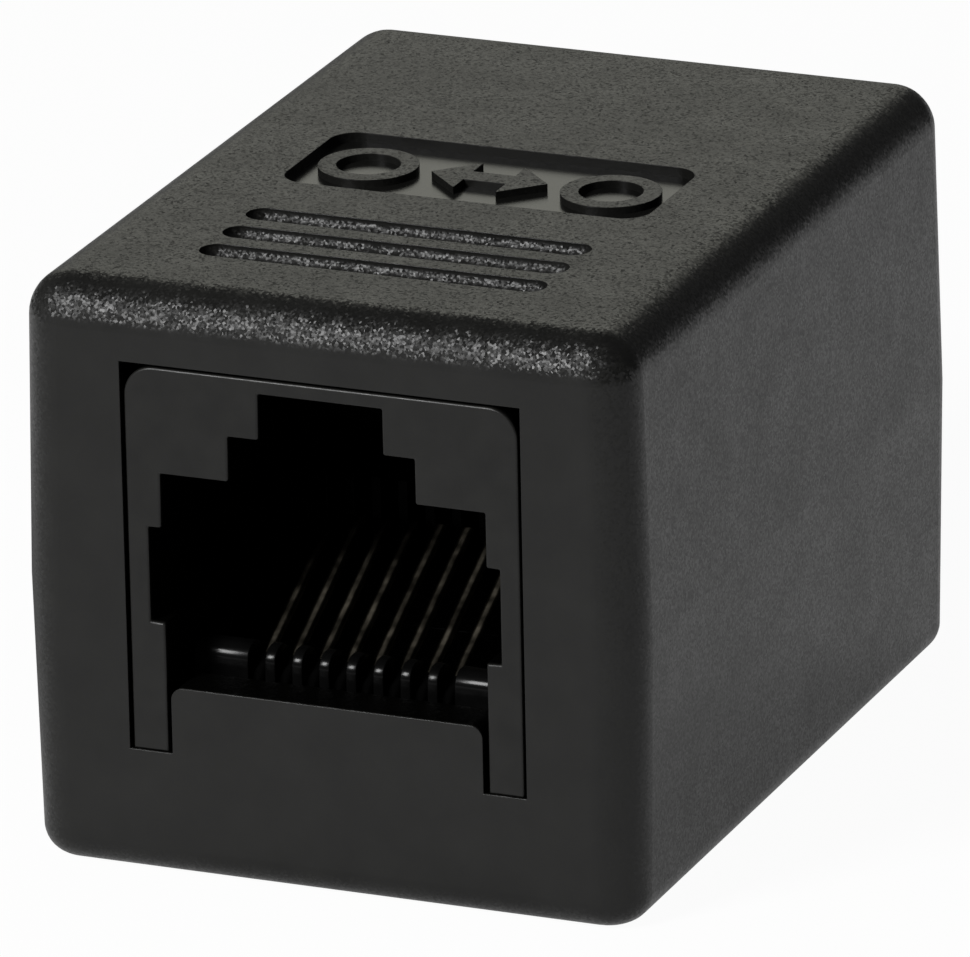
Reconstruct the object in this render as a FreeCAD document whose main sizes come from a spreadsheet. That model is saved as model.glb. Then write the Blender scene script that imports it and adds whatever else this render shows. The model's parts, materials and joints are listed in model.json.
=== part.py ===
# RJ45 inline coupler: two modular jacks, back to back on a small circuit board, inside a two-part shell.
# Millimetres. X runs across the coupler, Y through it from the front socket to the rear one, Z up.
# The origin is the middle of the shell's underside. Each body is drawn from its own end of the coupler,
# with Y = 0 at the shell's end face, and is then placed; a rear piece is a front piece turned half round.
import FreeCAD, Part
import math
import os
import Sketcher
from FreeCAD import Placement, Rotation, Vector
from types import SimpleNamespace

# The driving dimensions, as they stand in the spreadsheet
sizes = {
    # Shell
    "shellWidth": 23.1,
    "shellLength": 31.2,
    "shellHeight": 21.5,
    "partingHeight": 10.4,
    "upperDraft": 0.25,
    "lowerDraft": 0.2,
    "cornerRadius": 1.6,
    "topRadius": 1.6,
    "baseRadius": 1.1,
    "sideWall": 1.8,
    "endWall": 1.7,
    "floorThickness": 1.5,
    "roofThickness": 2.0,
    "lipThickness": 0.8,
    "lipHeight": 0.8,
    "lipInset": 3.0,
    "fitClearance": 0.08,
    # Label recess and finger grooves in the shell's top
    "recessLength": 13.8,
    "recessWidth": 5.9,
    "recessDepth": 0.36,
    "recessRadius": 1.0,
    "symbolRise": 0.27,
    "ringSpacing": 9.2,
    "ringDiameter": 3.6,
    "ringBore": 2.3,
    "arrowLength": 4.4,
    "arrowHeadLength": 1.4,
    "arrowHeadWidth": 2.8,
    "arrowShaftWidth": 0.9,
    "grooveLength": 12.9,
    "grooveWidth": 1.3,
    "grooveDepth": 0.5,
    "grooveRadius": 0.42,
    "groovePitch": 2.05,
    "firstGroove": 4.98,
    # Bars under the roof
    "barX": 4.0,
    "barWidth": 1.2,
    # Circuit board, its standoffs and the pins that line the two shell halves up
    "boardThickness": 1.6,
    "standoffHeight": 1.55,
    "boardEndGap": 0.3,
    "boardSideGap": 0.25,
    "postWidth": 2.3,
    "postLength": 3.0,
    "postFromEnd": 6.5,
    "pinDiameter": 1.2,
    "pinReach": 2.0,
    "pinFromSide": 3.1,
    # Jack housing, inset from the shell's outside and from the middle, and its stepped socket
    "jackSideInset": 4.23,
    "jackTopInset": 2.73,
    "jackMiddleGap": 0.85,
    "jackSetback": 0.05,
    "jackClearance": 0.12,
    "jackRadius": 1.1,
    "jackBackWall": 1.2,
    "jackFrontWall": 1.6,
    "bayWall": 1.32,
    "beltWall": 0.77,
    "beltHeight": 3.47,
    "plugWall": 1.27,
    "plugHeight": 2.0,
    "stepWidth": 6.96,
    "stepHeight": 1.65,
    "notchWidth": 4.62,
    "notchHeight": 1.68,
    "notchRoof": 0.54,
    "catchLength": 2.0,
    "catchHeight": 1.0,
    "catchRise": 0.7,
    "catchFromFace": 5.5,
    "catchDepth": 0.5,
    # Shell tongue between the legs of the jack housing
    "tongueGap": 0.18,
    "tongueHeight": 2.45,
    "tongueRadius": 0.45,
    # Contact carrier
    "carrierClearance": 0.08,
    "carrierBackGap": 0.59,
    "noseGap": 0.55,
    "plateThickness": 2.0,
    "noseHeight": 3.38,
    "noseLength": 1.3,
    "noseRadius": 0.55,
    "combLength": 3.4,
    "combHeight": 7.4,
    "combSlotDepth": 1.3,
    "combSlotFoot": 3.6,
    "channelWidth": 0.64,
    "channelClearance": 0.06,
    "channelHeight": 1.2,
    "pegDiameter": 1.8,
    "pegReach": 2.0,
    "pegFromSide": 1.02,
    "pegFromNose": 2.94,
    # Contact wires and solder
    "contactPitch": 1.016,
    "wireWidth": 0.44,
    "wireThickness": 0.34,
    "wireBend": 0.42,
    "kneeHeight": 2.06,
    "springEndGap": 0.06,
    "springTop": 5.92,
    "tailFromNose": 5.94,
    "tailStagger": 1.9,
    "tailReach": 0.75,
    "tailClearance": 0.12,
    "solderFoot": 1.5,
    "solderTip": 0.7,
    "solderHeight": 0.5,
    "solderGap": 0.01,
}
grooveCount = 3
contactCount = 8
sides = [-1, 1]


class Size:
    """A length or angle together with the spreadsheet formula that gives it."""

    def __init__(self, number, formula):
        self.number = number
        self.formula = formula

    def combine(self, sign, other, number):
        text = other.formula if isinstance(other, Size) else str(other)
        return Size(number, "(%s %s %s)" % (self.formula, sign, text))

    def __add__(self, other):
        return self.combine("+", other, self.number + plain(other))

    def __sub__(self, other):
        return self.combine("-", other, self.number - plain(other))

    def __mul__(self, other):
        return self.combine("*", other, self.number * plain(other))

    def __truediv__(self, other):
        return self.combine("/", other, self.number / plain(other))

    def __neg__(self):
        return self * -1


def plain(value):
    return value.number if isinstance(value, Size) else value


doc = FreeCAD.newDocument("InlineCoupler")
sheet = doc.addObject("Spreadsheet::Sheet", "Dimensions")
size = SimpleNamespace()
for row, (name, number) in enumerate(sizes.items(), start=1):
    sheet.set("A%d" % row, name)
    sheet.set("B%d" % row, str(number))
    sheet.setAlias("B%d" % row, name)
    setattr(size, name, Size(number, "Dimensions." + name))

# Places that follow from the driving dimensions
boardBottom = size.floorThickness + size.standoffHeight
boardTop = boardBottom + size.boardThickness
innerHalf = size.shellWidth / 2 - size.sideWall
jackHalf = size.shellWidth / 2 - size.jackSideInset
jackTop = size.shellHeight - size.jackTopInset
jackDepth = size.shellLength / 2 - size.jackSetback - size.jackMiddleGap
openingHalf = jackHalf + size.jackClearance
openingTop = jackTop + size.jackClearance
bayHalf = jackHalf - size.bayWall
tongueHalf = bayHalf - size.tongueGap
tongueTop = boardTop + size.tongueHeight
notchTop = jackTop - size.notchRoof
notchFoot = notchTop - size.notchHeight
stepFoot = notchFoot - size.stepHeight
plugFoot = stepFoot - size.plugHeight
beltFoot = plugFoot - size.beltHeight
noseFront = size.endWall + size.noseGap
carrierHalf = bayHalf - size.carrierClearance
carrierBack = size.jackSetback + jackDepth - size.jackBackWall - size.carrierBackGap
combFront = carrierBack - size.combLength
pinX = size.shellWidth / 2 - size.pinFromSide
catchFoot = size.jackSetback + size.catchFromFace
catchBase = boardTop + size.catchRise
pegX = carrierHalf - size.pegFromSide
pegY = noseFront + size.pegFromNose
tailY = noseFront + size.tailFromNose
pinYs = [size.postFromEnd, size.shellLength - size.postFromEnd]
cutPast = 1  # how far a cut runs on past the face it opens
doc.recompute()


def bind(target, path, value):
    """Drive one property of a feature by a formula."""
    if isinstance(value, Size):
        target.setExpression(path, value.formula)


def newBody(name, isRear=False):
    """A body drawn from the front end, or from the rear end and turned half round."""
    body = doc.addObject("PartDesign::Body", name)
    body.Label = name
    endY = size.shellLength / 2 if isRear else -size.shellLength / 2
    body.Placement = Placement(Vector(0, endY.number, 0), Rotation(Vector(0, 0, 1), 180 if isRear else 0))
    bind(body, "Placement.Base.y", endY)
    return body


def newSketch(body, plane, name, offset=None):
    """A sketch on one of the body's origin planes, moved along the plane's normal by the offset."""
    sketch = body.newObject("Sketcher::SketchObject", name)
    support = [feature for feature in body.Origin.OriginFeatures if feature.Role == plane][0]
    sketch.AttachmentSupport = [(support, "")]
    sketch.MapMode = "FlatFace"
    if offset is not None:
        sketch.AttachmentOffset = Placement(Vector(0, 0, plain(offset)), Rotation())
        bind(sketch, "AttachmentOffset.Base.z", offset)
    return sketch


def constrain(sketch, kind, *arguments):
    """Add a constraint; the last argument may be a Size, which then drives it."""
    value = arguments[-1]
    if isinstance(value, Size):
        arguments = arguments[:-1] + (value.number,)
    index = sketch.addConstraint(Sketcher.Constraint(kind, *arguments))
    bind(sketch, "Constraints[%d]" % index, value)


def placePoint(sketch, geometry, corner, x, y):
    """Hold a point at its coordinates in the sketch."""
    for axis, kind, value in ((-2, "DistanceX", x), (-1, "DistanceY", y)):
        if isinstance(value, Size) or value:
            constrain(sketch, kind, geometry, corner, value)
        else:
            constrain(sketch, "PointOnObject", geometry, corner, axis)


def drawOutline(sketch, points):
    """A closed outline of straight lines through the points."""
    first = sketch.GeometryCount
    spots = [Vector(plain(x), plain(y), 0) for x, y in points]
    for index, spot in enumerate(spots):
        sketch.addGeometry(Part.LineSegment(spot, spots[(index + 1) % len(spots)]), False)
    for index in range(len(spots)):
        following = (index + 1) % len(spots)
        sketch.addConstraint(Sketcher.Constraint("Coincident", first + index, 2, first + following, 1))
    for index, (x, y) in enumerate(points):
        placePoint(sketch, first + index, 1, x, y)


def drawRectangle(sketch, left, bottom, right, top):
    drawOutline(sketch, [(left, bottom), (right, bottom), (right, top), (left, top)])


def drawCircle(sketch, x, y, diameter):
    centre = Vector(plain(x), plain(y), 0)
    circle = sketch.addGeometry(Part.Circle(centre, Vector(0, 0, 1), plain(diameter) / 2), False)
    placePoint(sketch, circle, 3, x, y)
    constrain(sketch, "Diameter", circle, diameter)


def drawSlot(sketch, halfLength, y, width):
    """A slot along the sketch's first axis with round ends, as long as twice the half length."""
    reach = halfLength - width / 2
    radius = width.number / 2
    left = Vector(-reach.number, y.number, 0)
    right = Vector(reach.number, y.number, 0)
    up = Vector(0, radius, 0)
    axis = Vector(0, 0, 1)
    rightArc = sketch.addGeometry(Part.ArcOfCircle(Part.Circle(right, axis, radius), -1.5708, 1.5708))
    topLine = sketch.addGeometry(Part.LineSegment(right + up, left + up))
    leftArc = sketch.addGeometry(Part.ArcOfCircle(Part.Circle(left, axis, radius), 1.5708, 4.7124))
    lowLine = sketch.addGeometry(Part.LineSegment(left - up, right - up))
    chain = [rightArc, topLine, leftArc, lowLine]
    for index, piece in enumerate(chain):
        constrain(sketch, "Tangent", piece, 2, chain[(index + 1) % 4], 1)
    placePoint(sketch, rightArc, 3, reach, y)
    placePoint(sketch, leftArc, 3, -reach, y)
    constrain(sketch, "Radius", rightArc, width / 2)
    constrain(sketch, "Radius", leftArc, width / 2)


def pad(body, sketch, length, name, isReversed=False, isSymmetric=False):
    feature = body.newObject("PartDesign::Pad", name)
    feature.Profile = sketch
    feature.Length = plain(length)
    bind(feature, "Length", length)
    feature.Reversed = isReversed
    feature.SideType = "Symmetric" if isSymmetric else "One side"
    finish(body, feature)
    return feature


def pocket(body, sketch, length, name, isReversed=False, isSymmetric=False):
    """Cut the sketch to the given length, or right through where the length is None."""
    before = body.Tip.Shape.Volume
    feature = body.newObject("PartDesign::Pocket", name)
    feature.Profile = sketch
    if length is None:
        feature.Type = "ThroughAll"
    else:
        feature.Length = plain(length)
        bind(feature, "Length", length)
    feature.Reversed = isReversed
    feature.SideType = "Symmetric" if isSymmetric else "One side"
    finish(body, feature)
    if feature.Shape.Volume > before - 1e-6:
        raise RuntimeError(name + " cuts nothing")
    return feature


def roundEdges(body, name, radius, isWanted):
    """Round every edge of the body so far that the test picks."""
    base = body.Tip
    picked = ["Edge%d" % (index + 1) for index, edge in enumerate(base.Shape.Edges) if isWanted(edge)]
    if not picked:
        raise RuntimeError(name + " finds no edge")
    feature = body.newObject("PartDesign::Fillet", name)
    feature.Base = (base, picked)
    feature.Radius = plain(radius)
    bind(feature, "Radius", radius)
    finish(body, feature)
    return feature


def repeatAcross(body, feature, name):
    """Copy a feature once for each of the other contacts, at the contact pitch along X."""
    pattern = body.newObject("PartDesign::LinearPattern", name)
    pattern.Originals = [feature]
    axis = [part for part in body.Origin.OriginFeatures if part.Role == "X_Axis"][0]
    pattern.Direction = (axis, [""])
    pattern.Length = size.contactPitch.number * (contactCount - 1)
    bind(pattern, "Length", size.contactPitch * (contactCount - 1))
    pattern.Occurrences = contactCount
    finish(body, pattern)
    return pattern


def finish(body, feature):
    body.Tip = feature
    doc.recompute()
    if "Invalid" in feature.State or "Error" in feature.State:
        raise RuntimeError(feature.Label + " failed")


def isNear(value, wanted):
    return abs(value - plain(wanted)) < 1e-4


def shellBlock(body, foot, head, footHalf, headHalf, flatZ, flatRadius):
    """The outside of one shell half: drafted sides, round corners, a round rim at its closed end."""
    blockHeight = plain(head) - plain(foot)
    profile = newSketch(body, "XZ_Plane", "Section")
    drawOutline(profile, [(-footHalf, foot), (footHalf, foot), (headHalf, head), (-headHalf, head)])
    pad(body, profile, size.shellLength, "Block", isReversed=True)
    roundEdges(body, "Corners", size.cornerRadius, lambda edge: isNear(edge.BoundBox.ZLength, blockHeight))
    roundEdges(body, "Rim", flatRadius, lambda edge: isNear(edge.BoundBox.ZMin, flatZ)
               and isNear(edge.BoundBox.ZMax, flatZ))


def hollow(body, depth, isReversed):
    """The space inside one shell half, cut from the parting plane."""
    plan = newSketch(body, "XY_Plane", "CavityPlan", size.partingHeight)
    drawRectangle(plan, -innerHalf, size.endWall, innerHalf, size.shellLength - size.endWall)
    pocket(body, plan, depth, "Cavity", isReversed=isReversed)


def buildLowerShell():
    body = newBody("lower_shell")
    half = size.shellWidth / 2
    shellBlock(body, 0, size.partingHeight, half - size.lowerDraft, half, 0, size.baseRadius)
    hollow(body, size.partingHeight - size.floorThickness, isReversed=False)

    # The opening at both ends: a slot for each leg of the jack, with the tongue standing between them.
    opening = newSketch(body, "XZ_Plane", "OpeningOutline")
    head = size.partingHeight + cutPast
    drawOutline(opening, [(-openingHalf, head), (-openingHalf, boardTop), (-tongueHalf, boardTop),
                          (-tongueHalf, tongueTop), (tongueHalf, tongueTop), (tongueHalf, boardTop),
                          (openingHalf, boardTop), (openingHalf, head)])
    pocket(body, opening, None, "Openings")
    roundEdges(body, "TongueCorners", size.tongueRadius, lambda edge: isNear(edge.BoundBox.ZMin, tongueTop)
               and isNear(abs(edge.BoundBox.XMin), tongueHalf) and edge.BoundBox.XLength < 0.01)

    # A lip along each side locates the upper half.
    lips = newSketch(body, "XY_Plane", "LipPlan", size.partingHeight)
    for side in sides:
        drawRectangle(lips, innerHalf * side, size.lipInset, (innerHalf + size.lipThickness) * side,
                      size.shellLength - size.lipInset)
    pad(body, lips, size.lipHeight, "Lips")

    # Four standoffs carry the board, and a pin on each passes through it.
    standoffs = newSketch(body, "XY_Plane", "StandoffPlan", size.floorThickness)
    pins = newSketch(body, "XY_Plane", "PinPlan", boardBottom)
    for side in sides:
        for y in pinYs:
            drawRectangle(standoffs, innerHalf * side, y - size.postLength / 2,
                          (innerHalf - size.postWidth) * side, y + size.postLength / 2)
            drawCircle(pins, pinX * side, y, size.pinDiameter)
    pad(body, standoffs, size.standoffHeight, "Standoffs")
    pad(body, pins, size.boardThickness + size.pinReach, "Pins")
    return body


def buildUpperShell():
    body = newBody("upper_shell")
    half = size.shellWidth / 2
    top = size.shellHeight
    shellBlock(body, size.partingHeight, top, half, half - size.upperDraft, top, size.topRadius)
    hollow(body, size.shellHeight - size.roofThickness - size.partingHeight, isReversed=True)

    # The opening at both ends, with square top corners.
    opening = newSketch(body, "XZ_Plane", "OpeningOutline")
    drawRectangle(opening, -openingHalf, size.partingHeight - cutPast, openingHalf, openingTop)
    pocket(body, opening, None, "Openings")

    # Rebates take the lips of the lower half.
    rebates = newSketch(body, "XY_Plane", "RebatePlan", size.partingHeight)
    rebateEnd = size.lipInset - size.fitClearance
    rebateSide = innerHalf + size.lipThickness + size.fitClearance
    for side in sides:
        drawRectangle(rebates, innerHalf * side, rebateEnd, rebateSide * side, size.shellLength - rebateEnd)
    pocket(body, rebates, size.lipHeight + size.fitClearance, "Rebates", isReversed=True)

    # Four posts press the board down, and two bars hold the jacks down.
    roofInside = size.shellHeight - size.roofThickness
    posts = newSketch(body, "XY_Plane", "PostPlan", boardTop + size.fitClearance)
    bores = newSketch(body, "XY_Plane", "BorePlan", boardTop + size.fitClearance)
    for side in sides:
        for y in pinYs:
            drawRectangle(posts, innerHalf * side, y - size.postLength / 2,
                          (innerHalf - size.postWidth) * side, y + size.postLength / 2)
            drawCircle(bores, pinX * side, y, size.pinDiameter + size.fitClearance * 2)
    pad(body, posts, roofInside - boardTop - size.fitClearance, "Posts")
    pocket(body, bores, size.pinReach + size.fitClearance, "PostBores", isReversed=True)
    bars = newSketch(body, "XY_Plane", "BarPlan", jackTop + size.fitClearance)
    for side in sides:
        drawRectangle(bars, size.barX * side, size.endWall,
                      (size.barX + size.barWidth) * side, size.shellLength - size.endWall)
    pad(body, bars, roofInside - jackTop - size.fitClearance, "HoldDownBars")

    # The label recess holds a plain raised sign for a straight coupler: port, two-way arrow, port.
    recessMiddle = size.shellLength / 2
    recessFloor = size.shellHeight - size.recessDepth
    recess = newSketch(body, "XY_Plane", "RecessPlan", size.shellHeight)
    drawRectangle(recess, -size.recessLength / 2, recessMiddle - size.recessWidth / 2,
                  size.recessLength / 2, recessMiddle + size.recessWidth / 2)
    pocket(body, recess, size.recessDepth, "LabelRecess")
    roundEdges(body, "RecessCorners", size.recessRadius, lambda edge: edge.BoundBox.XLength < 0.01
               and edge.BoundBox.YLength < 0.01 and isNear(edge.BoundBox.ZMin, recessFloor)
               and isNear(edge.BoundBox.ZMax, size.shellHeight))
    sign = newSketch(body, "XY_Plane", "SignPlan", recessFloor)
    for side in sides:
        drawCircle(sign, size.ringSpacing / 2 * side, recessMiddle, size.ringDiameter)
        drawCircle(sign, size.ringSpacing / 2 * side, recessMiddle, size.ringBore)
    drawOutline(sign, arrowPoints(recessMiddle))
    pad(body, sign, size.symbolRise, "RaisedSign")

    # Three finger grooves near the front, with round ends and a round bottom.
    grooves = newSketch(body, "XY_Plane", "GroovePlan", size.shellHeight)
    for index in range(grooveCount):
        grooveY = size.firstGroove + size.groovePitch * index
        drawSlot(grooves, size.grooveLength / 2, grooveY, size.grooveWidth)
    pocket(body, grooves, size.grooveDepth, "Grooves")
    grooveFloor = size.shellHeight - size.grooveDepth
    roundEdges(body, "GrooveBottoms", size.grooveRadius, lambda edge: isNear(edge.BoundBox.ZMin, grooveFloor)
               and isNear(edge.BoundBox.ZMax, grooveFloor))
    return body


def arrowPoints(middle):
    """A two-way arrow along X, point by point round its outline."""
    tip = size.arrowLength / 2
    neck = tip - size.arrowHeadLength
    barb = size.arrowHeadWidth / 2
    edge = size.arrowShaftWidth / 2
    return [(tip, middle), (neck, middle + barb), (neck, middle + edge), (-neck, middle + edge),
            (-neck, middle + barb), (-tip, middle), (-neck, middle - barb), (-neck, middle - edge),
            (neck, middle - edge), (neck, middle - barb)]


def buildJackHousing(name, isRear):
    body = newBody(name, isRear)
    face = newSketch(body, "XZ_Plane", "Face", -size.jackSetback)
    drawRectangle(face, -jackHalf, boardTop, jackHalf, jackTop)
    pad(body, face, jackDepth, "Block", isReversed=True)
    roundEdges(body, "TopCorners", size.jackRadius, lambda edge: isNear(edge.BoundBox.YLength, jackDepth)
               and isNear(edge.BoundBox.ZMin, jackTop))

    # The socket narrows upwards in steps: bay for the carrier, belt, plug, latch step and latch notch.
    socket = newSketch(body, "XZ_Plane", "SocketOutline", -size.jackSetback)
    right = [(bayHalf, boardTop - cutPast), (bayHalf, beltFoot),
             (jackHalf - size.beltWall, beltFoot), (jackHalf - size.beltWall, plugFoot),
             (jackHalf - size.plugWall, plugFoot), (jackHalf - size.plugWall, stepFoot),
             (size.stepWidth / 2, stepFoot), (size.stepWidth / 2, notchFoot),
             (size.notchWidth / 2, notchFoot), (size.notchWidth / 2, notchTop)]
    left = [(-x, z) for x, z in reversed(right)]
    drawOutline(socket, right + left)
    pocket(body, socket, jackDepth - size.jackBackWall, "Socket")

    # Behind the front wall the notch is as wide as the step, so that the plug's latch can catch.
    latch = newSketch(body, "XZ_Plane", "LatchPocketOutline", -(size.jackSetback + size.jackFrontWall))
    drawRectangle(latch, -size.stepWidth / 2, stepFoot, size.stepWidth / 2, notchTop)
    pocket(body, latch, jackDepth - size.jackFrontWall - size.jackBackWall, "LatchPocket")

    # A window in each leg takes the carrier's catch.
    window = newSketch(body, "YZ_Plane", "WindowOutline")
    gap = size.fitClearance
    drawRectangle(window, catchFoot - gap, catchBase - gap,
                  catchFoot + size.catchLength + gap, catchBase + size.catchHeight + gap)
    pocket(body, window, jackHalf * 2 + cutPast, "CatchWindows", isSymmetric=True)
    return body


def buildCarrier(name, isRear):
    body = newBody(name, isRear)
    plateTop = boardTop + size.plateThickness
    noseTop = boardTop + size.noseHeight
    noseBack = noseFront + size.noseLength
    combTop = boardTop + size.combHeight
    side = newSketch(body, "YZ_Plane", "SideProfile")
    drawOutline(side, [(noseFront, boardTop), (carrierBack, boardTop), (carrierBack, combTop),
                       (combFront, combTop), (combFront, plateTop), (noseBack, plateTop),
                       (noseBack, noseTop), (noseFront, noseTop)])
    pad(body, side, carrierHalf * 2, "Block", isSymmetric=True)
    roundEdges(body, "NoseFront", size.noseRadius, lambda edge: isNear(edge.BoundBox.YMax, noseFront)
               and isNear(edge.BoundBox.ZMin, noseTop))
    roundEdges(body, "NoseBack", size.noseRadius, lambda edge: isNear(edge.BoundBox.YMin, noseBack)
               and isNear(edge.BoundBox.ZMin, noseTop))

    # Each wire lies in a channel: back under the plate, up the front of the nose, and over it.
    firstX = size.contactPitch * (0.5 - contactCount / 2)
    channelTop = boardTop + size.channelHeight
    saddle = noseFront + size.wireThickness + size.channelClearance * 3
    channelEnd = tailY + size.tailStagger + size.wireThickness / 2 + size.tailClearance
    channel = newSketch(body, "YZ_Plane", "ChannelProfile", firstX)
    drawOutline(channel, [(noseFront - cutPast, boardTop - cutPast), (channelEnd, boardTop - cutPast),
                          (channelEnd, channelTop), (saddle, channelTop), (saddle, plateTop),
                          (noseBack + cutPast, plateTop), (noseBack + cutPast, noseTop + cutPast),
                          (noseFront - cutPast, noseTop + cutPast)])
    cut = pocket(body, channel, size.channelWidth, "Channel", isSymmetric=True)
    repeatAcross(body, cut, "Channels")

    # The comb at the back guides the free ends of the wires.
    slot = newSketch(body, "YZ_Plane", "CombSlotProfile", firstX)
    drawRectangle(slot, combFront - cutPast, boardTop + size.combSlotFoot,
                  combFront + size.combSlotDepth, combTop + cutPast)
    cut = pocket(body, slot, size.channelWidth, "CombSlot", isSymmetric=True)
    repeatAcross(body, cut, "CombSlots")

    # Two pegs go down through the board, and a catch on each side snaps into the housing.
    pegs = newSketch(body, "XY_Plane", "PegPlan", boardTop)
    for sign in sides:
        drawCircle(pegs, pegX * sign, pegY, size.pegDiameter)
    pad(body, pegs, size.pegReach, "Pegs", isReversed=True)
    for sign, label in zip(sides, ("Left", "Right")):
        catch = newSketch(body, "YZ_Plane", label + "CatchProfile", carrierHalf * sign)
        drawOutline(catch, [(catchFoot, catchBase), (catchFoot + size.catchLength, catchBase),
                            (catchFoot + size.catchLength, catchBase + size.catchHeight),
                            (catchFoot, catchBase + size.catchHeight)])
        pad(body, catch, size.catchDepth, label + "Catch", isReversed=sign < 0)
    return body


def buildContact(name, isRear, index):
    """One spring wire: tail through the board, run under the plate, rise at the nose, sloping spring."""
    body = newBody(name, isRear)
    x = size.contactPitch * (index + 0.5 - contactCount / 2)
    footY = tailY + size.tailStagger * (index % 2)
    footZ = boardBottom - size.tailReach
    runZ = boardTop + size.channelHeight / 2
    riseY = noseFront + size.wireThickness / 2 + size.channelClearance
    route = newSketch(body, "YZ_Plane", "Route", x)
    drawRoute(route, footY, footZ, runZ, riseY)
    section = newSketch(body, "XY_Plane", "WireSection", footZ)
    drawRectangle(section, x - size.wireWidth / 2, footY - size.wireThickness / 2,
                  x + size.wireWidth / 2, footY + size.wireThickness / 2)
    wire = body.newObject("PartDesign::AdditivePipe", "Wire")
    wire.Profile = section
    wire.Spine = (route, [])
    finish(body, wire)
    return body


def drawRoute(sketch, footY, footZ, runZ, riseY):
    """The wire's centre line: four straight stretches joined by three bends of one radius."""
    tipY = combFront - size.springEndGap
    tipZ = boardTop + size.springTop
    kneeZ = boardTop + size.kneeHeight
    tip = Vector(tipY.number, tipZ.number, 0)
    toTip = tip - Vector((riseY + size.wireBend).number, kneeZ.number, 0)
    slope = math.atan2(toTip.y, toTip.x) - math.asin(size.wireBend.number / toTip.Length)
    cornerZ = tip.y - (tip.x - riseY.number) * math.tan(slope)
    corners = [Vector(footY.number, footZ.number, 0), Vector(footY.number, runZ.number, 0),
               Vector(riseY.number, runZ.number, 0), Vector(riseY.number, cornerZ, 0), tip]
    stops, centres = [corners[0]], []
    for before, corner, after in zip(corners, corners[1:], corners[2:]):
        back = (before - corner).normalize()
        ahead = (after - corner).normalize()
        halfAngle = back.getAngle(ahead) / 2
        reach = size.wireBend.number / math.tan(halfAngle)
        centres.append(corner + (back + ahead).normalize() * (size.wireBend.number / math.sin(halfAngle)))
        stops += [corner + back * reach, corner + ahead * reach]
    stops.append(tip)
    lines = [sketch.addGeometry(Part.LineSegment(stops[index], stops[index + 1]))
             for index in range(0, len(stops), 2)]
    arcs = []
    for index, centre in enumerate(centres):
        # A sketch's arcs run anticlockwise, so a bend to the right is drawn from its far end.
        isLeft = index == 0
        start, end = stops[index * 2 + 1], stops[index * 2 + 2]
        if not isLeft:
            start, end = end, start
        startAngle = math.atan2(start.y - centre.y, start.x - centre.x)
        endAngle = math.atan2(end.y - centre.y, end.x - centre.x)
        circle = Part.Circle(centre, Vector(0, 0, 1), size.wireBend.number)
        arc = sketch.addGeometry(Part.ArcOfCircle(circle, startAngle, endAngle))
        constrain(sketch, "Tangent", lines[index], 2, arc, 1 if isLeft else 2)
        constrain(sketch, "Tangent", arc, 2 if isLeft else 1, lines[index + 1], 1)
        constrain(sketch, "Radius", arc, size.wireBend)
        arcs.append(arc)
    tail, run, rise, spring = lines
    constrain(sketch, "Vertical", tail)
    constrain(sketch, "Horizontal", run)
    constrain(sketch, "Vertical", rise)
    placePoint(sketch, tail, 1, footY, footZ)
    constrain(sketch, "DistanceY", run, 1, runZ)
    constrain(sketch, "DistanceX", rise, 1, riseY)
    placePoint(sketch, spring, 2, tipY, tipZ)
    constrain(sketch, "DistanceY", arcs[-1], 3, kneeZ)


def buildBoard():
    body = newBody("circuit_board")
    plan = newSketch(body, "XY_Plane", "BoardPlan", boardBottom)
    end = size.endWall + size.boardEndGap
    boardHalf = innerHalf - size.boardSideGap
    drawRectangle(plan, -boardHalf, end, boardHalf, size.shellLength - end)
    for y in pinYs:
        for side in sides:
            drawCircle(plan, pinX * side, y, size.pinDiameter + size.fitClearance * 2)
    for side in sides:
        for y in (pegY, size.shellLength - pegY):
            drawCircle(plan, pegX * side, y, size.pegDiameter + size.fitClearance * 2)
    holeWidth = size.wireWidth + size.tailClearance * 2
    holeLength = size.wireThickness + size.tailClearance * 2
    for index in range(contactCount):
        x = size.contactPitch * (index + 0.5 - contactCount / 2)
        y = tailY + size.tailStagger * (index % 2)
        drawRectangle(plan, x - holeWidth / 2, y - holeLength / 2, x + holeWidth / 2, y + holeLength / 2)
        y = size.shellLength - y
        drawRectangle(plan, -x - holeWidth / 2, y - holeLength / 2, -x + holeWidth / 2, y + holeLength / 2)
    pad(body, plan, size.boardThickness, "Board")
    return body


def buildSolder(name, isRear):
    """The eight solder joints of one jack, on the underside of the board round the wires' tails."""
    joints = []
    boreWidth = size.wireWidth + size.solderGap * 2
    boreThickness = size.wireThickness + size.solderGap * 2
    for index in range(contactCount):
        x = size.contactPitch * (index + 0.5 - contactCount / 2)
        y = tailY + size.tailStagger * (index % 2) - size.shellLength / 2
        if isRear:
            x, y = -x, -y
        foot = doc.addObject("Part::Wedge", name + "_foot")
        bind(foot, "Ymax", size.solderHeight)
        for axis in "XZ":
            bind(foot, axis + "min", -size.solderFoot / 2)
            bind(foot, axis + "max", size.solderFoot / 2)
            bind(foot, axis + "2min", -size.solderTip / 2)
            bind(foot, axis + "2max", size.solderTip / 2)
        foot.Placement = Placement(Vector(), Rotation(Vector(1, 0, 0), -90))
        bind(foot, "Placement.Base.x", x)
        bind(foot, "Placement.Base.y", y)
        bind(foot, "Placement.Base.z", boardBottom)
        bore = doc.addObject("Part::Box", name + "_bore")
        bind(bore, "Length", boreWidth)
        bind(bore, "Width", boreThickness)
        bind(bore, "Height", size.solderHeight)
        bind(bore, "Placement.Base.x", x - boreWidth / 2)
        bind(bore, "Placement.Base.y", y - boreThickness / 2)
        bind(bore, "Placement.Base.z", boardBottom - size.solderHeight)
        joint = doc.addObject("Part::Cut", name + "_joint")
        joint.Base = foot
        joint.Tool = bore
        joints.append(joint)
    group = doc.addObject("Part::Compound", name)
    group.Label = name
    group.Links = joints
    doc.recompute()
    return group


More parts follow.
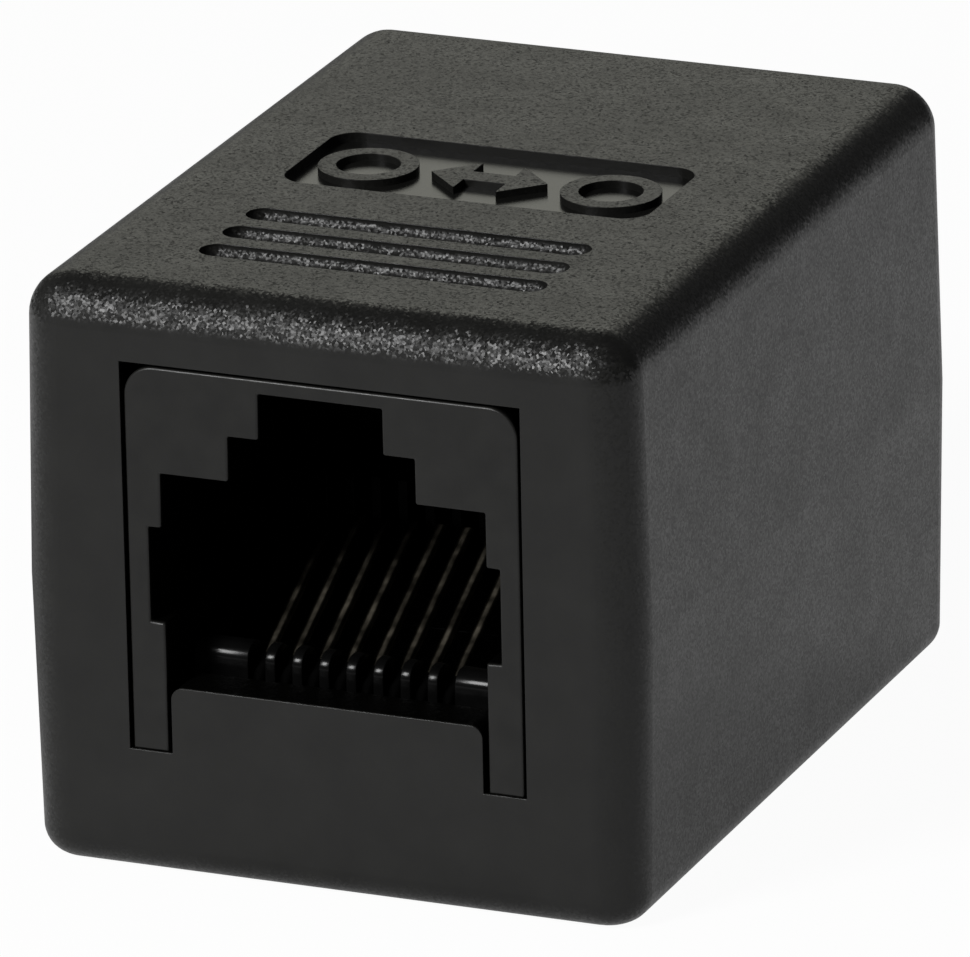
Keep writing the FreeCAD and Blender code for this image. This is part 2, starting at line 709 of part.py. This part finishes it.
parts = [buildUpperShell(), buildLowerShell(), buildBoard()]
for end, isRear in (("front", False), ("rear", True)):
    parts.append(buildJackHousing(end + "_jack_housing", isRear))
    parts.append(buildCarrier(end + "_contact_carrier", isRear))
    for index in range(contactCount):
        parts.append(buildContact("%s_contact_%d" % (end, index + 1), isRear, index))
    parts.append(buildSolder(end + "_solder_joints", isRear))
doc.recompute()

for item in doc.Objects:
    if "Invalid" in item.State or "Error" in item.State:
        raise RuntimeError(item.Label + " failed to build")
os.makedirs("parts", exist_ok=True)
for piece in parts:
    if piece.Shape.isNull() or not piece.Shape.isValid():
        raise RuntimeError(piece.Label + " has no valid shape")
    piece.Shape.exportStep("parts/%s.step" % piece.Label)
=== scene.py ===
# Looks of the inline coupler: plastic and metal finishes, rounded contact wires, studio and camera.
# Metres, in the frame of the CAD model: X across, Y through from the front socket, Z up.
import json
import math
import bpy
from mathutils import Matrix, Vector

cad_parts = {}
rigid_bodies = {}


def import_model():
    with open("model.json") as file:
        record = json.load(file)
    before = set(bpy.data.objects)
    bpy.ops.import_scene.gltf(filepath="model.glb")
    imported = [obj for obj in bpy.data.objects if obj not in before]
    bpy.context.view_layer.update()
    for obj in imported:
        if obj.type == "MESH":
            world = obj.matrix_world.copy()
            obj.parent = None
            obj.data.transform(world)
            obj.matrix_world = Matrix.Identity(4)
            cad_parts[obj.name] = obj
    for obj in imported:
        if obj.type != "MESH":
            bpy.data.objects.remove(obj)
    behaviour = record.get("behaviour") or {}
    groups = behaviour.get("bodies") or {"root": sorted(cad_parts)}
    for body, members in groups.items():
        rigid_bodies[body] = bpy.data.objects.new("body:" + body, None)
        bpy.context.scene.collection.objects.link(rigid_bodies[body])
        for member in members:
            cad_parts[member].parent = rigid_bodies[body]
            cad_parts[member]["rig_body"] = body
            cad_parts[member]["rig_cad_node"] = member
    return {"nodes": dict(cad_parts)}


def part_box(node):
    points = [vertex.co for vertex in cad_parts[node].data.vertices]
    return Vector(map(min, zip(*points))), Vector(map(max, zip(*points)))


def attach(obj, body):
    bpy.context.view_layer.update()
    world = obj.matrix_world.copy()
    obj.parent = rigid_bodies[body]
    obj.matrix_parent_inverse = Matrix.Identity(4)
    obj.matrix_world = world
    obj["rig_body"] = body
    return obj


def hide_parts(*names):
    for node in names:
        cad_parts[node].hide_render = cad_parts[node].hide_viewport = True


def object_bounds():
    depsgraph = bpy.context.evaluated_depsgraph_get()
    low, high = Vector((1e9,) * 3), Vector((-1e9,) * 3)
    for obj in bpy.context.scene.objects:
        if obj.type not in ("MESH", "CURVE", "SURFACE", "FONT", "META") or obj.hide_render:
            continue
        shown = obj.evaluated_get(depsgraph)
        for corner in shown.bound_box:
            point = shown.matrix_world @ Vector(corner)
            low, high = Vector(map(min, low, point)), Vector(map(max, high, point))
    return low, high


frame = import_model()
cadBounds = [list(corner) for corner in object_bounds()]
nodes = frame["nodes"]
millimetre = 0.001
print("frame loaded:", len(nodes), "CAD nodes")


# Small helpers for building materials

textureRange = (0.3, 0.7)  # most values of a noise texture lie between these
# how far a unit normal points along an axis: square to a flat face, up from a slope, along Y from a slope
normalLimits = {"flat": (0.97, 0.999), "upwards": (0.05, 0.30), "along": (0.15, 0.60)}


def newMaterial(name):
    material = bpy.data.materials.new(name)
    material.use_nodes = True
    return material, material.node_tree, material.node_tree.nodes["Principled BSDF"]


def addNode(tree, kind, **settings):
    node = tree.nodes.new(kind)
    for key, value in settings.items():
        setattr(node, key, value)
    return node


def objectPoints(tree):
    return addNode(tree, "ShaderNodeTexCoord").outputs["Object"]


def noise(tree, points, grain, detail=2.0, roughness=0.5):
    # grain is the size of one lump in metres
    texture = addNode(tree, "ShaderNodeTexNoise")
    texture.inputs["Scale"].default_value = 1 / grain
    texture.inputs["Detail"].default_value = detail
    texture.inputs["Roughness"].default_value = roughness
    tree.links.new(points, texture.inputs["Vector"])
    return texture.outputs["Fac"]


def spread(tree, value, low, high, limits=textureRange):
    # turns the values between two limits into another range of numbers
    mapRange = addNode(tree, "ShaderNodeMapRange")
    for name, number in (("From Min", limits[0]), ("From Max", limits[1]), ("To Min", low), ("To Max", high)):
        mapRange.inputs[name].default_value = number
    tree.links.new(value, mapRange.inputs["Value"])
    return mapRange.outputs["Result"]


def tint(tree, value, dark, light):
    # a colour between two others, picked by a texture value
    ramp = addNode(tree, "ShaderNodeValToRGB")
    for stop, place, colour in zip(ramp.color_ramp.elements, textureRange, (dark, light)):
        stop.position = place
        stop.color = (*colour, 1)
    tree.links.new(value, ramp.inputs["Fac"])
    return ramp.outputs["Color"]


def feed(tree, socket, value):
    # a number is set on the socket, anything else is linked to it
    if isinstance(value, (int, float)):
        socket.default_value = value
    else:
        tree.links.new(value, socket)


def calculate(tree, operation, *values):
    node = addNode(tree, "ShaderNodeMath", operation=operation)
    for socket, value in zip(node.inputs, values):
        feed(tree, socket, value)
    return node.outputs["Value"]


def multiply(tree, first, second):
    return calculate(tree, "MULTIPLY", first, second)


def blend(tree, share, outside, inside):
    # one number outside a mask and another inside it: inputs 2 and 3 are the node's two numbers
    node = addNode(tree, "ShaderNodeMix", data_type="FLOAT")
    for index, value in ((0, share), (2, outside), (3, inside)):
        feed(tree, node.inputs[index], value)
    return node.outputs["Result"]


def blendColour(tree, share, outside, inside):
    # a plain colour outside a mask and a textured one inside it: inputs 6 and 7 are the node's two colours
    node = addNode(tree, "ShaderNodeMix", data_type="RGBA")
    feed(tree, node.inputs[0], share)
    node.inputs[6].default_value = (*outside, 1)
    tree.links.new(inside, node.inputs[7])
    return node.outputs[2]


def scaled(tree, vector, share):
    node = addNode(tree, "ShaderNodeVectorMath", operation="SCALE")
    tree.links.new(vector, node.inputs[0])
    feed(tree, node.inputs["Scale"], share)
    return node.outputs["Vector"]


def split(tree, vector):
    node = addNode(tree, "ShaderNodeSeparateXYZ")
    tree.links.new(vector, node.inputs["Vector"])
    return node.outputs


def inBox(tree, points, centre, size):
    # 1 inside the box and 0 outside it
    mask = 1.0
    for along, place, width in zip(split(tree, points), centre, size):
        mask = multiply(tree, mask, calculate(tree, "COMPARE", along, place, width / 2))
    return mask


def onFlat(tree, axis, flat, elsewhere=1.0):
    # one value on flat faces square to the axis, and another elsewhere
    normal = split(tree, addNode(tree, "ShaderNodeTexCoord").outputs["Normal"])
    return spread(tree, calculate(tree, "ABSOLUTE", normal[axis]), elsewhere, flat, normalLimits["flat"])


def onEaves(tree, elsewhere):
    # 1 where a surface leans both upwards and to the front or the back, less elsewhere
    normal = split(tree, addNode(tree, "ShaderNodeTexCoord").outputs["Normal"])
    upwards = spread(tree, normal["Z"], elsewhere, 1.0, normalLimits["upwards"])
    along = spread(tree, calculate(tree, "ABSOLUTE", normal["Y"]), elsewhere, 1.0, normalLimits["along"])
    return calculate(tree, "MINIMUM", upwards, along)


def towardsMouth(tree, points, value, deep, mouth):
    # the value deep in a socket, rising to 1 towards its mouth; both places are distances from the middle
    return spread(tree, calculate(tree, "ABSOLUTE", split(tree, points)["Y"]), value, 1.0, (deep, mouth))


def bump(tree, height, depth, strength=1.0, under=None):
    # depth is the height in metres between a black and a white texture value
    node = addNode(tree, "ShaderNodeBump")
    feed(tree, node.inputs["Strength"], strength)
    node.inputs["Distance"].default_value = depth
    tree.links.new(height, node.inputs["Height"])
    if under is not None:
        tree.links.new(under, node.inputs["Normal"])
    return node.outputs["Normal"]


def facets(tree, points, grain, tilt, under):
    # every grain gets its own random tilt, so the surface sparkles
    cells = addNode(tree, "ShaderNodeTexVoronoi")
    cells.inputs["Scale"].default_value = 1 / grain
    tree.links.new(points, cells.inputs["Vector"])
    lean = addNode(tree, "ShaderNodeVectorMath", operation="SUBTRACT")
    tree.links.new(cells.outputs["Color"], lean.inputs[0])
    lean.inputs[1].default_value = (0.5, 0.5, 0.5)  # the mean of the random colours
    tilted = addNode(tree, "ShaderNodeVectorMath", operation="ADD")
    tree.links.new(under, tilted.inputs[0])
    tree.links.new(scaled(tree, lean.outputs["Vector"], tilt), tilted.inputs[1])
    unit = addNode(tree, "ShaderNodeVectorMath", operation="NORMALIZE")
    tree.links.new(tilted.outputs["Vector"], unit.inputs[0])
    return unit.outputs["Vector"]


def finishNode(node, material):
    node.data.materials.clear()
    node.data.materials.append(material)


# Shell: black moulded plastic with a spark-eroded grain, which sparkles most along the front and rear eaves.
# The label panel has a polished floor, and inside the shell the colour and shine are darkened as painted
# shade.

shellFinish = {
    "dark": (0.005, 0.005, 0.0046),
    "light": (0.008, 0.008, 0.0073),
    "cloud": 2.2 * millimetre,
    "cloudDetail": 5.0,
    "cloudRoughness": 0.6,
    "roughLow": 0.31,
    "roughHigh": 0.38,
    "roughEaves": 1.12,
    "specular": 0.32,
    "grain": 0.085 * millimetre,
    "grainTilt": 0.50,
    "grainSides": 0.30,
    "grainFlat": {"X": 0.8, "Y": 0.25, "Z": 1.9},
    "wave": 0.30 * millimetre,
    "waveDepth": 0.010 * millimetre,
    "panelSize": (13.9 * millimetre, 6.0 * millimetre, 0.7 * millimetre),
    "panelSkin": 0.005 * millimetre,  # left out at the top and bottom of the panel's walls
    "panelSink": 0.22 * millimetre,  # the panel's floor lies at least this far below the shell's top
    "panelRough": 0.22,
    "panelWalls": 0.13,
    "insideSize": (20.0 * millimetre, 31.0 * millimetre, 17.0 * millimetre),
    "insideMiddle": 10.2 * millimetre,
    # painted shade: inside the shell the colour and shine are scaled down by this
    "insideShine": 0.15,
    "edge": 0.05 * millimetre,
    "edgeSamples": 4,
    "lip": 0.8 * millimetre,  # the lower shell's lip stands this far above the parting line
    "partingBand": 0.3 * millimetre,
}


def makeShellPlastic(look):
    material, tree, shader = newMaterial("shellPlastic")
    points = objectPoints(tree)
    clouds = noise(tree, points, look["cloud"], look["cloudDetail"], look["cloudRoughness"])
    # masks: inside the shell, as on the tongue's top; at the foot of the panel; its floor; its walls
    inside = inBox(tree, points, (0, 0, look["insideMiddle"]), look["insideSize"])
    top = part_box("upper_shell")[1][2]
    width, length, depth = look["panelSize"]
    foot = inBox(tree, points, (0, 0, top - look["panelSink"] - depth / 2), (width, length, depth))
    panel = multiply(tree, foot, onFlat(tree, "Z", 1.0, 0.0))
    walls = inBox(tree, points, (0, 0, top - depth / 2), (width, length, depth - 2 * look["panelSkin"]))
    walls = multiply(tree, walls, onFlat(tree, "Z", 0.0, 1.0))
    # colour, roughness and shine; inside the shell the colour and shine are darkened as painted shade
    paintedShade = blend(tree, inside, 1.0, look["insideShine"])
    colour = scaled(tree, tint(tree, clouds, look["dark"], look["light"]), paintedShade)
    tree.links.new(colour, shader.inputs["Base Color"])
    rough = multiply(tree, spread(tree, clouds, look["roughLow"], look["roughHigh"]),
                     blend(tree, onEaves(tree, 0.0), 1.0, look["roughEaves"]))
    tree.links.new(blend(tree, panel, rough, look["panelRough"]), shader.inputs["Roughness"])
    specular = multiply(tree, paintedShade, blend(tree, walls, look["specular"], look["panelWalls"]))
    tree.links.new(specular, shader.inputs["Specular IOR Level"])
    # edges look eased, but not at the foot of the panel or along the parting line
    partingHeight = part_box("lower_shell")[1][2] - look["lip"]
    parting = calculate(tree, "COMPARE", split(tree, points)["Z"], partingHeight, look["partingBand"] / 2)
    rounded = addNode(tree, "ShaderNodeBevel", samples=look["edgeSamples"])
    tree.links.new(blend(tree, calculate(tree, "MAXIMUM", foot, parting), look["edge"], 0.0),
                   rounded.inputs["Radius"])
    # grain
    strength = blend(tree, panel, onEaves(tree, look["grainSides"]), 0.0)
    for axis, share in look["grainFlat"].items():
        strength = multiply(tree, strength, onFlat(tree, axis, share))
    wavy = bump(tree, noise(tree, points, look["wave"]), look["waveDepth"], strength,
                rounded.outputs["Normal"])
    grain = facets(tree, points, look["grain"], multiply(tree, strength, look["grainTilt"]), wavy)
    tree.links.new(grain, shader.inputs["Normal"])
    return material


# Jacks: the same black from a polished tool; deep in the socket the colour and shine are darkened as painted
# shade

mouthY = abs(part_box("front_jack_housing")[0][1])
jackFinish = {
    "dark": (0.005, 0.005, 0.0046),
    "light": (0.008, 0.008, 0.0073),
    "mottle": 1.1 * millimetre,
    "roughLow": 0.34,
    "roughHigh": 0.46,
    "specular": 0.30,
    # painted shade: deep in the socket the colour and shine are scaled down to this
    "shineDeep": 0.10,
    "deep": mouthY - 0.22 * millimetre,
    "mouth": mouthY - 0.06 * millimetre,
    "patch": 0.33 * millimetre,
    "grain": 0.11 * millimetre,
    "grainDepth": 0.004 * millimetre,
}

# Contact carriers: black and glossy at the rounded nose; towards the comb the colour and shine are darkened
# as painted shade

noseY = abs(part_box("front_contact_carrier")[0][1])
carrierFinish = {
    "dark": (0.0018, 0.0018, 0.0018),
    "light": (0.003, 0.003, 0.003),
    "mottle": 0.9 * millimetre,
    "roughLow": 0.17,
    "roughHigh": 0.23,
    "specular": 0.12,
    # painted shade: deep towards the comb the colour and shine are scaled down to this
    "shineDeep": 0.08,
    "deep": noseY - 3.0 * millimetre,
    "mouth": noseY - 1.3 * millimetre,
    "patch": 1.05 * millimetre,
    "grain": 0.35 * millimetre,
    "grainDepth": 0.003 * millimetre,
}


def makeMouldedPlastic(name, look):
    material, tree, shader = newMaterial(name)
    points = objectPoints(tree)
    # painted shade: the colour and shine are darkened deep in the socket
    paintedShade = towardsMouth(tree, points, look["shineDeep"], look["deep"], look["mouth"])
    colour = tint(tree, noise(tree, points, look["mottle"]), look["dark"], look["light"])
    tree.links.new(scaled(tree, colour, paintedShade), shader.inputs["Base Color"])
    tree.links.new(spread(tree, noise(tree, points, look["patch"]), look["roughLow"], look["roughHigh"]),
                   shader.inputs["Roughness"])
    tree.links.new(multiply(tree, paintedShade, look["specular"]), shader.inputs["Specular IOR Level"])
    tree.links.new(bump(tree, noise(tree, points, look["grain"]), look["grainDepth"]),
                   shader.inputs["Normal"])
    return material


# Circuit board: green solder mask over glass cloth, whose weave shows through

boardFinish = {
    "dark": (0.010, 0.060, 0.022),
    "light": (0.016, 0.095, 0.034),
    "mottle": 0.8 * millimetre,
    "rough": 0.32,
    "weave": 0.42 * millimetre,
    "weaveDepth": 0.006 * millimetre,
}


def makeBoard(look):
    material, tree, shader = newMaterial("solderMask")
    points = objectPoints(tree)
    tree.links.new(tint(tree, noise(tree, points, look["mottle"]), look["dark"], look["light"]),
                   shader.inputs["Base Color"])
    shader.inputs["Roughness"].default_value = look["rough"]
    heights = []
    for direction in ("X", "Y"):
        threads = addNode(tree, "ShaderNodeTexWave", wave_type="BANDS", bands_direction=direction)
        threads.inputs["Scale"].default_value = 1 / look["weave"] / (2 * math.pi)
        tree.links.new(points, threads.inputs["Vector"])
        heights.append(threads.outputs["Fac"])
    tree.links.new(bump(tree, multiply(tree, *heights), look["weaveDepth"]), shader.inputs["Normal"])
    return material


# Metals: dark gold flash on the springs, painted near-black below the knee over the nose as painted shade;
# tin solder on the tails

goldFinish = {
    "dark": (0.15, 0.135, 0.105),
    "light": (0.26, 0.235, 0.185),
    # painted shade: the near-black colour of the wires below the knee
    "dull": (0.002, 0.002, 0.002),
    "mottle": 0.7 * millimetre,
    "roughLow": 0.13,
    "roughHigh": 0.23,
    "brushed": 0.9,
    "dullRough": 1.0,
    "dullBelow": 2.9 * millimetre,  # above the board
    "patch": 0.60 * millimetre,
    "grain": 0.30 * millimetre,
    "grainDepth": 0.0005 * millimetre,
}

solderFinish = {
    "dark": (0.48, 0.48, 0.49),
    "light": (0.68, 0.68, 0.69),
    "mottle": 0.5 * millimetre,
    "roughLow": 0.18,
    "roughHigh": 0.38,
    "patch": 0.50 * millimetre,
    "grain": 0.25 * millimetre,
    "grainDepth": 0.006 * millimetre,
}


def makeMetal(name, look):
    material, tree, shader = newMaterial(name)
    points = objectPoints(tree)
    colour = tint(tree, noise(tree, points, look["mottle"]), look["dark"], look["light"])
    rough = spread(tree, noise(tree, points, look["patch"]), look["roughLow"], look["roughHigh"])
    # painted shade: below the knee the wire is coloured near-black and matt
    if "dull" in look:
        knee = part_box("circuit_board")[1][2] + look["dullBelow"]
        outsideKneeShade = calculate(tree, "GREATER_THAN", split(tree, points)["Z"], knee)
        colour = blendColour(tree, outsideKneeShade, look["dull"], colour)
        rough = blend(tree, outsideKneeShade, look["dullRough"], rough)
    if "brushed" in look:
        # drawn wire: brushed along its run, which lies mostly along Y
        shader.inputs["Anisotropic"].default_value = look["brushed"]
        run = addNode(tree, "ShaderNodeVectorMath", operation="MULTIPLY")
        tree.links.new(points, run.inputs[0])
        run.inputs[1].default_value = (0, 1, 0)
        tree.links.new(run.outputs["Vector"], shader.inputs["Tangent"])
    tree.links.new(colour, shader.inputs["Base Color"])
    tree.links.new(rough, shader.inputs["Roughness"])
    shader.inputs["Metallic"].default_value = 1.0
    tree.links.new(bump(tree, noise(tree, points, look["grain"]), look["grainDepth"]),
                   shader.inputs["Normal"])
    return material


shellPlastic = makeShellPlastic(shellFinish)
jackPlastic = makeMouldedPlastic("jackPlastic", jackFinish)
carrierPlastic = makeMouldedPlastic("carrierPlastic", carrierFinish)
solderMask = makeBoard(boardFinish)
gold = makeMetal("contactGold", goldFinish)
tin = makeMetal("solderTin", solderFinish)
finishes = {"shell": shellPlastic, "housing": jackPlastic, "carrier": carrierPlastic,
            "board": solderMask, "joints": tin}
for name, node in nodes.items():
    for word, material in finishes.items():
        if word in name:
            finishNode(node, material)
print("finishes set")


# Pieces with rounded edges: copies of the CAD wires, carriers and jacks, each with its long edges eased

wireShape = {"edge": 0.16 * millimetre, "steps": 4}
carrierShape = {"edge": 0.09 * millimetre, "steps": 3}
jackShape = {"edge": 0.10 * millimetre, "steps": 3}
roundShape = {
    "weld": 0.0005 * millimetre,
    "flat": math.radians(1),
    "sharp": math.radians(40),
    "weight": 100,
}


def deselectAll():
    bpy.ops.object.select_all(action="DESELECT")


def addModifier(piece, kind, **settings):
    bpy.ops.object.modifier_add(type=kind)
    modifier = piece.modifiers[-1]
    for key, value in settings.items():
        setattr(modifier, key, value)
    bpy.ops.object.modifier_apply(modifier=modifier.name)


def roundedCopy(nodeName, ending, shape, material):
    node = nodes[nodeName]
    deselectAll()
    bpy.context.view_layer.objects.active = node
    node.select_set(True)
    bpy.ops.object.duplicate(linked=False)
    piece = bpy.context.view_layer.objects.active
    piece.parent = None
    piece.name = nodeName + ending
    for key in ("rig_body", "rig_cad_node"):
        if key in piece:
            del piece[key]
    bpy.ops.object.mode_set(mode="EDIT")
    bpy.ops.mesh.select_all(action="SELECT")
    bpy.ops.mesh.customdata_custom_splitnormals_clear()
    bpy.ops.mesh.remove_doubles(threshold=roundShape["weld"])
    bpy.ops.mesh.dissolve_limited(angle_limit=roundShape["flat"])
    bpy.ops.object.mode_set(mode="OBJECT")
    addModifier(piece, "BEVEL", width=shape["edge"], segments=shape["steps"], limit_method="ANGLE",
                angle_limit=roundShape["sharp"])
    bpy.ops.object.shade_smooth_by_angle(angle=roundShape["sharp"])
    addModifier(piece, "WEIGHTED_NORMAL", mode="FACE_AREA", weight=roundShape["weight"], keep_sharp=True)
    finishNode(piece, material)
    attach(piece, "root")
    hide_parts(nodeName)
    return piece


rounded = []
for name in sorted(nodes):
    if "housing" in name:
        rounded.append(roundedCopy(name, "_eased", jackShape, jackPlastic))
    elif "carrier" in name:
        rounded.append(roundedCopy(name, "_eased", carrierShape, carrierPlastic))
    elif "_contact_" in name:
        rounded.append(roundedCopy(name, "_wire", wireShape, gold))
deselectAll()
print("rounded copies:", len(rounded))


# Studio: a pale floor, a low soft light behind on the left, a soft light at the front left, and a dim room

studio = {
    "floorSize": 6.0,
    "floorColour": (0.80, 0.80, 0.80),
    "floorRough": 0.9,
    "floorOwnLight": 0.96,
    "poolMiddle": (-0.010, -0.040, 0),
    "poolEdges": (0.06, 0.30),  # the pool is even up to the first distance and faded at the second
    "poolNear": 0.80,
    "poolFar": 0.24,
    "shades": [
        {"middle": (0, 0, 0), "near": 0.016, "far": 0.021, "level": 0.72},
        {"middle": (0.018, 0.012, 0), "near": 0.015, "far": 0.045, "level": 0.84},
        {"middle": (-0.024, 0.014, 0), "near": 0.015, "far": 0.030, "level": 0.25},
    ],
    "room": 0.10,
    "backdrop": 0.96,
    "backLight": {"azimuth": -23, "elevation": 21, "distance": 0.50, "width": 0.34, "height": 0.16,
                  "watts": 0.16, "colour": (1.0, 1.0, 0.88)},
    "frontLight": {"azimuth": 206, "elevation": 33, "distance": 0.45, "width": 0.12, "height": 0.14,
                   "watts": 2.2, "colour": (1.0, 1.0, 1.0)},
}


def farFrom(tree, place):
    # distance from a place on the floor
    away = addNode(tree, "ShaderNodeVectorMath", operation="DISTANCE")
    tree.links.new(objectPoints(tree), away.inputs[0])
    away.inputs[1].default_value = place
    return away.outputs["Value"]


def makeFloor(look):
    bpy.ops.mesh.primitive_plane_add(size=look["floorSize"], location=(0, 0, 0))
    floor = bpy.context.active_object
    floor.name = "floor"
    material, tree, shader = newMaterial("floorPaper")
    shader.inputs["Base Color"].default_value = (*look["floorColour"], 1)
    shader.inputs["Roughness"].default_value = look["floorRough"]
    shader.inputs["Specular IOR Level"].default_value = 0.0
    rays = addNode(tree, "ShaderNodeLightPath").outputs
    seen = rays["Is Camera Ray"]
    for ray in ("Is Glossy Ray", "Is Transmission Ray"):
        seen = calculate(tree, "MAXIMUM", seen, rays[ray])
    # away from the object the floor lights it less, and so does the shaded floor at its sides
    pool = spread(tree, farFrom(tree, look["poolMiddle"]), look["poolNear"], look["poolFar"],
                  look["poolEdges"])
    for shade in look["shades"]:
        pool = multiply(tree, pool, spread(tree, farFrom(tree, shade["middle"]), shade["level"], 1.0,
                                           (shade["near"], shade["far"])))
    white = addNode(tree, "ShaderNodeEmission")
    tree.links.new(calculate(tree, "MAXIMUM", pool, rays["Is Camera Ray"]), white.inputs["Strength"])
    mixed = addNode(tree, "ShaderNodeMixShader")
    tree.links.new(multiply(tree, seen, look["floorOwnLight"]), mixed.inputs["Fac"])
    tree.links.new(shader.outputs["BSDF"], mixed.inputs[1])
    tree.links.new(white.outputs["Emission"], mixed.inputs[2])
    tree.links.new(mixed.outputs["Shader"], tree.nodes["Material Output"].inputs["Surface"])
    finishNode(floor, material)


def aimFrom(azimuth, elevation):
    # unit vector from the object towards a light; azimuth 0 is straight behind it, turning to the right
    flat = math.cos(math.radians(elevation))
    return Vector((math.sin(math.radians(azimuth)) * flat, math.cos(math.radians(azimuth)) * flat,
                   math.sin(math.radians(elevation))))


def makeLight(name, look, middle):
    lamp = bpy.data.lights.new(name, "AREA")
    lamp.shape = "RECTANGLE"
    lamp.size = look["width"]
    lamp.size_y = look["height"]
    lamp.energy = look["watts"]
    lamp.color = look["colour"]
    light = bpy.data.objects.new(name, lamp)
    bpy.context.scene.collection.objects.link(light)
    towards = aimFrom(look["azimuth"], look["elevation"])
    light.location = middle + towards * look["distance"]
    light.rotation_euler = (-towards).to_track_quat("-Z", "Y").to_euler()


def makeRoom(look):
    # dim around the object, white where the camera looks past the floor
    world = bpy.data.worlds.new("room")
    world.use_nodes = True
    tree = world.node_tree
    background = tree.nodes["Background"]
    background.inputs["Color"].default_value = (1, 1, 1, 1)
    seen = addNode(tree, "ShaderNodeLightPath").outputs["Is Camera Ray"]
    tree.links.new(blend(tree, seen, look["room"], look["backdrop"]), background.inputs["Strength"])
    bpy.context.scene.world = world


low, high = (Vector(corner) for corner in cadBounds)
middle = (low + high) / 2
makeFloor(studio)
makeLight("backLight", studio["backLight"], middle)
makeLight("frontLight", studio["frontLight"], middle)
makeRoom(studio)
print("studio set")


# Camera: a long lens, from the front right and above, held a little off level

shot = {
    "azimuth": 22.69,
    "elevation": 19.75,
    "roll": -1.17,
    "distance": 0.4759,
    "lens": 499.35,
    "sensor": 36,
    "nearest": 0.01,
    "farthest": 20,
    "aimRight": -0.371 * millimetre,
    "aimUp": -0.528 * millimetre,
}


def makeCamera(look, middle):
    azimuth = math.radians(look["azimuth"])
    elevation = math.radians(look["elevation"])
    ahead = Vector((-math.sin(azimuth) * math.cos(elevation), math.cos(azimuth) * math.cos(elevation),
                    -math.sin(elevation)))
    right = ahead.cross(Vector((0, 0, 1))).normalized()
    up = right.cross(ahead)
    aim = middle + right * look["aimRight"] + up * look["aimUp"]
    lens = bpy.data.cameras.new("camera")
    lens.lens = look["lens"]
    lens.sensor_width = look["sensor"]
    lens.clip_start = look["nearest"]
    lens.clip_end = look["farthest"]
    camera = bpy.data.objects.new("camera", lens)
    bpy.context.scene.collection.objects.link(camera)
    turn = ahead.to_track_quat("-Z", "Y").to_matrix() @ Matrix.Rotation(math.radians(look["roll"]), 3, "Z")
    camera.matrix_world = Matrix.Translation(aim - ahead * look["distance"]) @ turn.to_4x4()
    bpy.context.scene.camera = camera


makeCamera(shot, middle)
bpy.context.scene.view_settings.view_transform = "Standard"
print("camera set")
